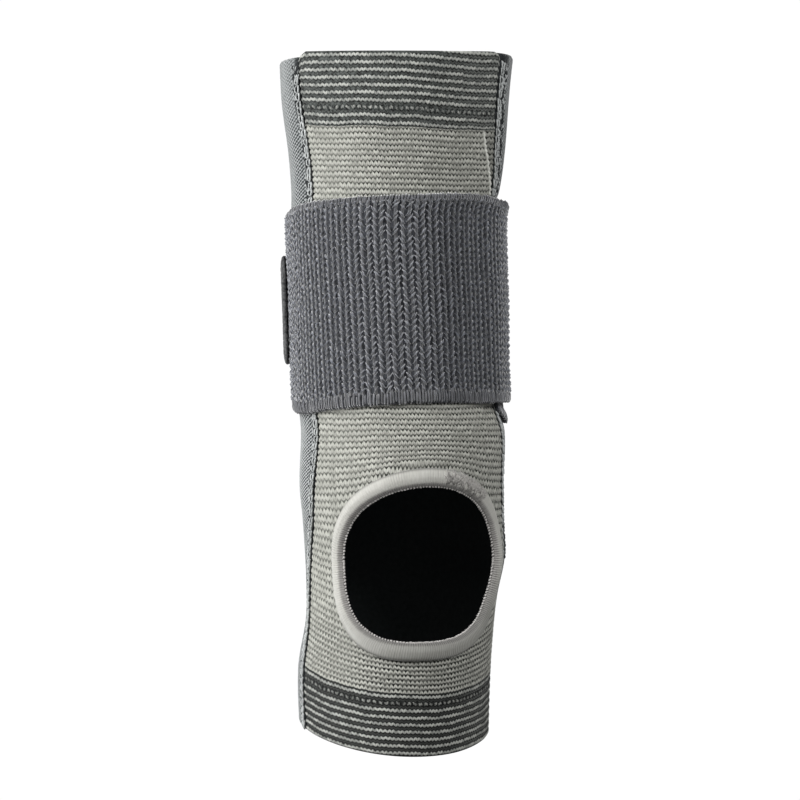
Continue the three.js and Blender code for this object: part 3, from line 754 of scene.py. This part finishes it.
def strap_stitches():
    """Ropes of slanting stitches in pairs that lean against each other, and the finer upright
    stitches of the strap's borders."""
    column, pitch = 3.4, 1.54
    s0, s1 = np.interp([222.0, 579.0], _SD, _SL)
    cols = np.arange(s0 + column / 2, s1 - column / 2, column)
    heights = np.arange(-STRAP_WIDTH / 2 + 3.7, STRAP_WIDTH / 2 - 1.0, pitch)
    c, h = np.meshgrid(cols, heights, indexing="ij")
    h = h + RNG.uniform(-0.3, 0.3, (len(cols), 1)) + RNG.uniform(-0.17, 0.17, c.shape)
    c = c + RNG.uniform(-0.10, 0.10, c.shape) - 0.02 * h
    parts = []
    for lean in (-1, 1):
        up = RNG.uniform(-0.12, 0.12, c.shape) + (0.35 if lean > 0 else 0.0)
        for strand in (-0.19, 0.19):
            q = strand + RNG.uniform(-0.13, 0.13, c.shape)
            rise = h + up + lean * strand * 0.5 + RNG.uniform(-0.17, 0.17, c.shape)
            long = RNG.uniform(0.72, 1.05, c.shape)
            a = np.stack([c + lean * 1.34 + q, rise + long * 0.80, np.full_like(c, GROUND - 0.02)], -1)
            b = np.stack([c + lean * 0.88 + q, rise + 0.04, GROUND + RNG.uniform(0.24, 0.46, c.shape)], -1)
            d = np.stack([c + lean * 0.38 + q, rise - long * 0.76, np.full_like(c, GROUND - 0.02)], -1)
            parts.append(np.stack([a, b, d], 2).reshape(-1, 3, 3))
    legs = np.concatenate(parts)
    legs[..., 1] = np.minimum(legs[..., 1], STRAP_WIDTH / 2 - 0.7 - 0.25 * np.arange(3)[::-1])
    size = RNG.uniform(0.72, 1.25, (len(legs), 1))
    rs = np.array([0.09, 0.135, 0.09])[None] * size
    ro = np.array([0.13, 0.21, 0.13])[None] * size
    p1, f1, uv1 = tubes(legs, rs, ro, 4, strap_point)
    rung = np.linspace(-STRAP_WIDTH / 2 + 3.0, STRAP_WIDTH / 2 - 1.2, 15)
    ropes = []
    for lean in (-1, 1):
        cc = cols[:, None] + lean * 0.85 - 0.02 * rung[None]
        ropes.append(np.stack([cc + RNG.uniform(-0.06, 0.06, cc.shape), np.broadcast_to(rung, cc.shape), np.full_like(cc, GROUND - 0.06)], -1))
    ropes = np.concatenate(ropes)
    p0, f0, uv0 = tubes(ropes, np.full(ropes.shape[:2], 0.42), np.full(ropes.shape[:2], 0.24), 6, strap_point)
    uv0[:, 1] *= 12.0

    def bars(along, low, high, n_from, n_to):
        n = len(along)
        jit, jit2 = RNG.uniform(-0.2, 0.2, n), RNG.uniform(-0.8, 0.7, n) * (1 if high - low > 2 else 0.1)
        sl = RNG.uniform(-0.15, 0.30, n)
        rise = [low, low + (high - low) * 0.2, low + (high - low) * 0.6, high]
        outs = [n_from, GROUND + 0.06, GROUND + 0.12, n_to]
        lift = RNG.uniform(-0.08, 0.08, n)
        path = np.stack([np.stack([along + sl * k / 3, rise[k] + (jit if k < 2 else jit2), outs[k] + lift + RNG.uniform(-0.05, 0.05, n)], -1) for k in range(4)], 1)
        r = RNG.uniform(0.20, 0.27, (n, 1)) * np.ones((1, 4))
        return tubes(path, r, r, 5, strap_point)

    def end_bars(at, reach):
        """Overcast stitches along a cut end of the strap."""
        w = np.arange(-STRAP_WIDTH / 2 + 0.6, STRAP_WIDTH / 2 - 0.4, 0.9)
        w = w + RNG.uniform(-0.15, 0.15, len(w))
        n = len(w)
        sl = RNG.uniform(-0.3, 0.3, n)
        path = np.stack([np.stack([np.full(n, at) + reach * q, w + sl * q, np.full(n, o)], -1) for q, o in ((0.02, GROUND - 0.5), (0.12, GROUND + 0.05), (0.6, GROUND + 0.14), (1.0, GROUND - 0.15))], 1)
        r = RNG.uniform(0.28, 0.38, (n, 1)) * np.ones((1, 4))
        return tubes(path, r, r, 6, strap_point)

    fine = np.arange(s0, s1, 0.72)
    fine = fine + RNG.uniform(-0.11, 0.11, len(fine))
    start = np.arange(0.4, float(np.interp(226.0, _SD, _SL)), 0.82)
    start = start + RNG.uniform(-0.2, 0.2, len(start))
    lo, hi = -STRAP_WIDTH / 2, STRAP_WIDTH / 2
    groups = [(p1, f1, uv1), (p0, f0, uv0), bars(fine, lo + 0.3, lo + 3.4, GROUND - 0.45, GROUND - 0.15), bars(fine, hi - 0.2, hi - 1.7, GROUND - 0.5, GROUND - 0.1),
              bars(start, lo + 0.3, lo + 3.6, GROUND - 0.45, GROUND - 0.1), bars(start, lo + 3.2, lo + 8.6, GROUND - 0.1, GROUND - 0.1),
              end_bars(STRAP_LENGTH, -3.4), end_bars(0.0, 3.0)]
    pts, faces, uvs, mats, at = [], [], [], [], 0
    for kind, (p, f, uv) in zip((0, 2, 1, 1, 1, 1, 1, 1), groups):
        pts.append(p)
        faces += [[i + at for i in q] for q in f]
        mats += [kind] * len(f)
        uvs.append(uv)
        at += len(p)
    # the rope cores under the slanting stitches are painted dark, as painted shade between the stitches
    yarns = [strap_yarn(), strap_yarn("strap_border_yarn", (32, 34, 39), (116, 118, 125)), strap_yarn("strap_rope_shade", (26, 28, 32), (74, 76, 82))]
    return build("strap_stitches", np.vstack(pts), faces, yarns, np.vstack(uvs), mats)


# ------------------------------------------------------------------ the hook tab
def hook_tab():
    na, nb = 120, 84
    mm = float(np.linalg.norm(face(np.array(TAB["end"] + 0.5), np.array(0.0)) - face(np.array(TAB["end"] - 0.5), np.array(0.0))))
    t = np.linspace(0, 1, na + 1)
    t = 1 - (1 - t) ** 1.25
    deg = TAB["start"] + (TAB["end"] - TAB["start"]) * t
    left = (TAB["end"] - deg) * mm
    r = TAB["corner"]
    nip = np.where(left < r, r - np.sqrt(np.maximum(0, r**2 - (r - np.minimum(left, r)) ** 2)), 0)
    half = TAB["height"] / 2 - nip * 0.92
    q = np.linspace(-1, 1, nb + 1)
    zz = TAB["z"] + TAB_TILT * sec("half_width", 0.0) * np.sin(np.radians(deg))[:, None] + half[:, None] * q[None]
    dd = np.repeat(deg[:, None], nb + 1, 1)
    layers = 2 - ramp(dd, TAB["down_from"], TAB["down_to"])
    st = GAP + layers * (STRAP_THICK + GAP) - 0.22 * ramp(left[:, None] + 0 * dd, 5.0, 0.5)
    edge = np.minimum(half[:, None] * (1 - np.abs(q))[None], np.minimum(left[:, None], (dd - TAB["start"]) * mm))
    thin = 1 - np.sqrt(np.clip(1 - (1 - np.clip(edge / 0.5, 0, 1)) ** 2, 0, 1))
    i, j = np.meshgrid(np.arange(na + 1), np.arange(nb + 1), indexing="ij")
    ends = 0.30 * (1 - ramp(half[:, None] * (1 - np.abs(q))[None], 0.0, 1.8))
    pile = 0.10 * RNG.uniform(-1, 1, dd.shape) * np.clip(edge - 1.6, 0, 1)
    stitch = -0.16 * np.exp(-((edge - 1.8) / 0.35) ** 2) * (0.5 + 0.5 * np.cos(2 * np.pi * (dd * mm + zz) / 2.0))
    top = stand(dd, zz, st + TAB["thick"] - 0.05 - 0.4 * thin * (1 - ends) - ends + pile + stitch).reshape(-1, 3)
    low = stand(dd, zz, st + 0.08 * thin).reshape(-1, 3)
    T = lambda a, b: a * (nb + 1) + b
    B = lambda a, b: len(top) + a * (nb + 1) + b
    f = []
    for a in range(na):
        for b in range(nb):
            f.append((T(a, b), T(a + 1, b), T(a + 1, b + 1), T(a, b + 1)))
            f.append((B(a, b), B(a, b + 1), B(a + 1, b + 1), B(a + 1, b)))
        f.append((B(a, 0), B(a + 1, 0), T(a + 1, 0), T(a, 0)))
        f.append((T(a, nb), T(a + 1, nb), B(a + 1, nb), B(a, nb)))
    for b in range(nb):
        f.append((T(0, b), T(0, b + 1), B(0, b + 1), B(0, b)))
        f.append((B(na, b), B(na, b + 1), T(na, b + 1), T(na, b)))
    return build("hook_tape_tab", np.vstack([top, low]), f, [tape()])


# ------------------------------------------------------------------ the thumb hole's binding
BINDING = np.array([(4.20, 0.30), (4.05, 0.80), (3.20, 1.25), (1.90, 1.35), (0.70, 0.95), (0.10, 0.20), (0.00, -0.50), (0.45, -1.00), (1.10, -1.00), (1.10, 0.30)])
HOLE_CUT, DRAWN_IN = 1.45, 0.38


def ring_place(turn, across, out):
    drawn = 1 - DRAWN_IN * np.cos(turn) ** 2
    return around_hole(turn, np.where(across <= HOLE_CUT, across, HOLE_CUT + (across - HOLE_CUT) * drawn), out)


def even_turns(count):
    """Turns spaced evenly along the opening's edge."""
    t = np.linspace(0, 2 * np.pi, 4001)
    p = around_hole(t + 1e-5, 0.0, 0.0)
    ln = np.concatenate([[0], np.cumsum(np.linalg.norm(np.diff(p, axis=0), axis=1))])
    return np.interp(np.arange(count) / count * ln[-1], ln, t) + 1e-5, float(ln[-1])


def binding():
    threads, per = 250, 4
    turns, length = even_turns(threads * per)
    k = np.linspace(0, 1, 18)
    seg = np.concatenate([[0], np.cumsum(np.linalg.norm(np.diff(BINDING[:9], axis=0), axis=1))])
    across = np.concatenate([np.interp(k * seg[-1], seg, BINDING[:9, 0]), [1.10, 2.6]])
    out = np.concatenate([np.interp(k * seg[-1], seg, BINDING[:9, 1]), [0.30, 0.30]])
    shown = np.concatenate([k, [1.0, 1.0]])
    n = len(across)
    gt = np.repeat(turns[:, None], n, 1)
    ridge = np.where(shown > 0.5, 0.10, 0.05)[None] * np.cos(2 * np.pi * np.arange(threads * per) / per)[:, None] * np.where(shown < 0.95, 1, 0)[None]
    lap = np.exp(-(((gt - 1.02 + np.pi) % (2 * np.pi) - np.pi) / 0.16) ** 2) * np.where((shown > 0.1) & (shown < 0.75), 1, 0)[None]
    rough = 0.22 * lap * RNG.uniform(-1, 1, gt.shape)
    pts = ring_place(gt, across[None] + 0 * gt, out[None] + ridge + rough).reshape(-1, 3)
    f = []
    m = len(turns)
    for i in range(m):
        i2 = (i + 1) % m
        for j in range(n):
            j2 = (j + 1) % n
            f.append((i * n + j, i2 * n + j, i2 * n + j2, i * n + j2))
    uv = np.stack([np.repeat((np.arange(m) / per)[:, None], n, 1), np.repeat(shown[None], m, 0)], -1).reshape(-1, 2)
    return build("thumb_hole_edge", pts, f, [satin()], uv)


def beads():
    """The beaded row of stitches along the binding's inner edge."""
    turns, length = even_turns(172)
    n = len(turns)
    nxt = np.append(turns[1:], turns[0] + 2 * np.pi)
    step = nxt - turns
    mm = length / (2 * np.pi)
    line = []
    for part, across, out in ((-0.27, 0.14, -0.64), (-0.12, -0.07, -0.55), (0.12, -0.07, -0.43), (0.27, 0.12, -0.30)):
        line.append(np.stack([(turns + part * step) * mm, across + RNG.uniform(-0.07, 0.07, n), out + RNG.uniform(-0.06, 0.06, n)], -1))
    rs = RNG.uniform(0.22, 0.30, (n, 1)) * np.array([0.55, 1, 1, 0.55])
    p, f, uv = tubes(np.stack(line, 1), rs, rs, 6, lambda s, w, o: around_hole(s / mm, w, o))
    # where the binding starts and ends, irregular stitches hold the lap down
    m = 120
    t0 = RNG.uniform(0.84, 1.38, m)
    tw = RNG.uniform(-0.09, 0.09, m)
    a0, a1 = RNG.uniform(0.3, 2.0, m), RNG.uniform(2.2, 4.4, m)
    lift = RNG.uniform(0.06, 0.30, m)
    roll = lambda a: np.interp(a, BINDING[::-1][4:, 0], BINDING[::-1][4:, 1])
    lap = np.stack([np.stack([(t0 + tw * q) * mm, a0 + (a1 - a0) * q, roll(a0 + (a1 - a0) * q) + lift * math.sin(math.pi * (0.1 + 0.8 * q)) - 0.08], -1) for q in (0, 0.33, 0.67, 1)], 1)
    rl = RNG.uniform(0.13, 0.22, (m, 1)) * np.ones((1, 4))
    p2, f2, uv2 = tubes(lap, rl, rl, 6, lambda s, w, o: ring_place(s / mm, w, o))
    f = f + [[i + len(p) for i in q] for q in f2]
    p, uv = np.vstack([p, p2]), np.vstack([uv, uv2])
    yarns = [pale_thread("bead_thread", srgb(132, 129, 126), srgb(226, 223, 220)), pale_thread("lap_thread", srgb(28, 28, 27), srgb(214, 211, 206))]
    return build("thumb_hole_bead", p, f, yarns, uv, [0] * (len(f) - len(f2)) + [1] * len(f2))


# ------------------------------------------------------------------ the seams
def seam_links(side):
    """A chain of pale stitches over the seam between the two panels, and the cord of turned edges under it,
    painted dark as the shade in the seam's groove."""
    pitch = 1.8
    top = 54.2 if side < 0 else 58.4
    low = float(hem(np.array(side * 80.0))) + 1.0

    def place(s, w, o):
        base = side * seam(w, side)
        mm = np.linalg.norm(face(base + 0.5, w) - face(base - 0.5, w), axis=-1)
        return stand(base + s / mm, w, o)

    zs = np.arange(top, low, -pitch)
    zs = zs[(zs > 22.5) | (zs < -24.0)]
    n = len(zs)
    zs = zs + RNG.uniform(-0.25, 0.25, n)
    h = pitch * RNG.uniform(0.52, 0.66, n)
    parts = []
    for lean in (-1, 1):
        j = RNG.uniform(-0.18, 0.18, n)
        w = lean * RNG.uniform(0.55, 0.88, n)
        parts.append(np.stack([np.stack([lean * 0.06 + j, zs + h, np.full(n, -0.20)], -1), np.stack([w + j, zs + h * 0.4, np.full(n, 0.22)], -1),
                               np.stack([w + j, zs - h * 0.4, np.full(n, 0.30)], -1), np.stack([lean * 0.06 + j, zs - h, np.full(n, 0.02)], -1)], 1))
    links = np.concatenate(parts)
    if side > 0:                      # the +X seam lies deeper along the palm
        links[..., 2] -= 0.55 * ramp(links[..., 1], -46.0, -58.0)
    r = RNG.uniform(0.17, 0.27, (2 * n, 1)) * np.array([0.8, 1, 1, 0.8])
    core = []
    for a, b in ((top + 0.6, 21.5), (-23.5, low - 0.3)):
        z = np.linspace(a, b, 60)
        core.append(np.stack([0.12 * np.sin(z * 1.9), z, np.full(60, -0.62)], -1))
    rc = np.full((2, 60), 0.70)
    # columns of small slanting stitches on the rib panel's side of the seam, dark and pale
    if side < 0:
        bands = [(1.55, 22.5, 57.6), (0.30, 54.4, 58.0), (-0.75, 54.4, 57.4), (1.45, -100.0, -24.0)]
    else:
        bands = [(1.40, 22.5, 58.6), (2.55, 22.5, 58.8), (3.70, 22.5, 58.8), (1.35, -62.0, -24.0)]
    over = []
    for w0, low_z, high_z in bands:
        z0 = np.arange(low_z, high_z, 0.92)
        z0 = z0 + RNG.uniform(-0.14, 0.14, len(z0))
        for way in (-1, 1):
            up = RNG.uniform(0.02, 0.14, len(z0))
            wq = w0 + RNG.uniform(-0.10, 0.10, len(z0))
            over.append(np.stack([np.stack([side * (wq + way * (0.56 - 0.50 * q)), z0 + 0.55 - 0.95 * q, -0.12 + up + 0.22 * math.sin(math.pi * (0.12 + 0.76 * q))], -1) for q in (0, 0.33, 0.67, 1)], 1))
    over = np.concatenate(over)
    ro = RNG.uniform(0.10, 0.17, (len(over), 1)) * np.array([0.8, 1, 1, 0.8])
    half = int(len(over) * 0.48)
    mixed = RNG.permutation(len(over))
    return (tubes(links, r, r, 6, place), tubes(np.stack(core), rc, rc, 8, place),
            tubes(over[mixed[:half]], ro[:half], ro[:half], 5, place), tubes(over[mixed[half:]], ro[half:], ro[half:], 5, place))


def seams():
    pts, faces, uvs, mats, at = [], [], [], [], 0
    for side in (-1, 1):
        for kind, (p, f, uv) in enumerate(seam_links(side)):
            pts.append(p)
            faces += [[i + at for i in q] for q in f]
            mats += [kind % 2] * len(f)
            uvs.append(uv)
            at += len(p)
    # the second yarn is painted dark: as shade on the seam's cord, and as the dark ones of the small slanting stitches
    yarns = [pale_thread("seam_thread", srgb(104, 108, 109), srgb(226, 229, 228)), pale_thread("seam_shade_and_dark_yarn", srgb(16, 19, 20), srgb(58, 62, 64))]
    return build("seam_chains", np.vstack(pts), faces, yarns, np.vstack(uvs), mats)


# ------------------------------------------------------------------ make everything
panel = thumb_panel()
rib = rib_panel()
ribbon = strap_ribbon()
stitches = strap_stitches()
tab = hook_tab()
edge = binding()
bead = beads()
chain = seams()

for piece, node, slot in ((panel, "thumb_side_panel", "thumb_side_panel"), (rib, "rib_panel", "rib_panel"), (ribbon, "wrap_strap", "wrap_strap"),
                          (tab, "hook_tab", "hook_tab"), (edge, "thumb_hole_binding", "thumb_hole_binding")):
    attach(piece, "root")
    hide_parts(node)
for piece, slot in ((stitches, "wrap_strap"), (bead, "thumb_hole_binding"), (chain, "rib_panel")):
    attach(piece, "root")

# ------------------------------------------------------------------ floor, light, camera
def plain(name, colour):
    m = bpy.data.materials.new(name)
    m.use_nodes = True
    b = next(n for n in m.node_tree.nodes if n.type == "BSDF_PRINCIPLED")
    b.inputs["Base Color"].default_value = (*colour, 1)
    b.inputs["Roughness"].default_value = 0.9
    return m


me = bpy.data.meshes.new("floor")
me.from_pydata([(-0.6, -0.6, -0.50), (0.6, -0.6, -0.50), (0.6, 0.6, -0.50), (-0.6, 0.6, -0.50)], [], [(0, 1, 2, 3)])
me.materials.append(plain("pale_floor", (0.74, 0.74, 0.73)))
floor = bpy.data.objects.new("floor", me)
bpy.context.collection.objects.link(floor)

world = bpy.data.worlds.new("studio")
bpy.context.scene.world = world
world.use_nodes = True
wt = world.node_tree
bg = next(n for n in wt.nodes if n.type == "BACKGROUND")
co = wt.nodes.new("ShaderNodeTexCoord")
sp = wt.nodes.new("ShaderNodeSeparateXYZ")
mr = wt.nodes.new("ShaderNodeMapRange")
mr.interpolation_type = "SMOOTHSTEP"
wt.links.new(co.outputs["Generated"], sp.inputs[0])
wt.links.new(sp.outputs["Y"], mr.inputs["Value"])
mr.inputs["From Min"].default_value, mr.inputs["From Max"].default_value = 0.86, 0.97
mr.inputs["To Min"].default_value, mr.inputs["To Max"].default_value = 0.20, 1.02
wt.links.new(mr.outputs["Result"], bg.inputs["Strength"])
bg.inputs["Color"].default_value = (1, 1, 1, 1)


def area_light(name, place, target, size, power):
    d = bpy.data.lights.new(name, "AREA")
    d.shape, d.size, d.energy = "SQUARE", size, power
    d.spread = math.radians(72)
    o = bpy.data.objects.new(name, d)
    o.location = place
    o.rotation_euler = (Vector(target) - Vector(place)).to_track_quat("-Z", "Y").to_euler()
    bpy.context.collection.objects.link(o)


area_light("key", (-0.55, -0.34, 0.40), (0, 0, 0.07), 0.30, 0.95)
area_light("fill", (0.40, -0.66, 0.42), (0, 0, 0.07), 0.4, 0.83)
area_light("side", (-0.62, 0.04, -0.12), (0, 0, -0.06), 0.30, 0.64)

AZ, DIST = math.radians(-5.0), 0.750
right = Vector((math.cos(AZ), math.sin(AZ), 0)) * 0.00074
eye = Vector((math.sin(AZ) * DIST, -math.cos(AZ) * DIST, 0.0075)) + right
aim = Vector((0, 0, -0.0234)) + right
cam = bpy.data.cameras.new("camera")
cam.sensor_width = 36.0
cam.lens = 36.0 * 3029.0 / 800.0
cam.clip_start, cam.clip_end = 0.01, 20
camera = bpy.data.objects.new("camera", cam)
camera.location = eye
camera.rotation_euler = (aim - eye).to_track_quat("-Z", "Y").to_euler()
bpy.context.collection.objects.link(camera)
bpy.context.scene.camera = camera
bpy.context.scene.view_settings.view_transform = "Standard"
bpy.context.scene.view_settings.look = "None"
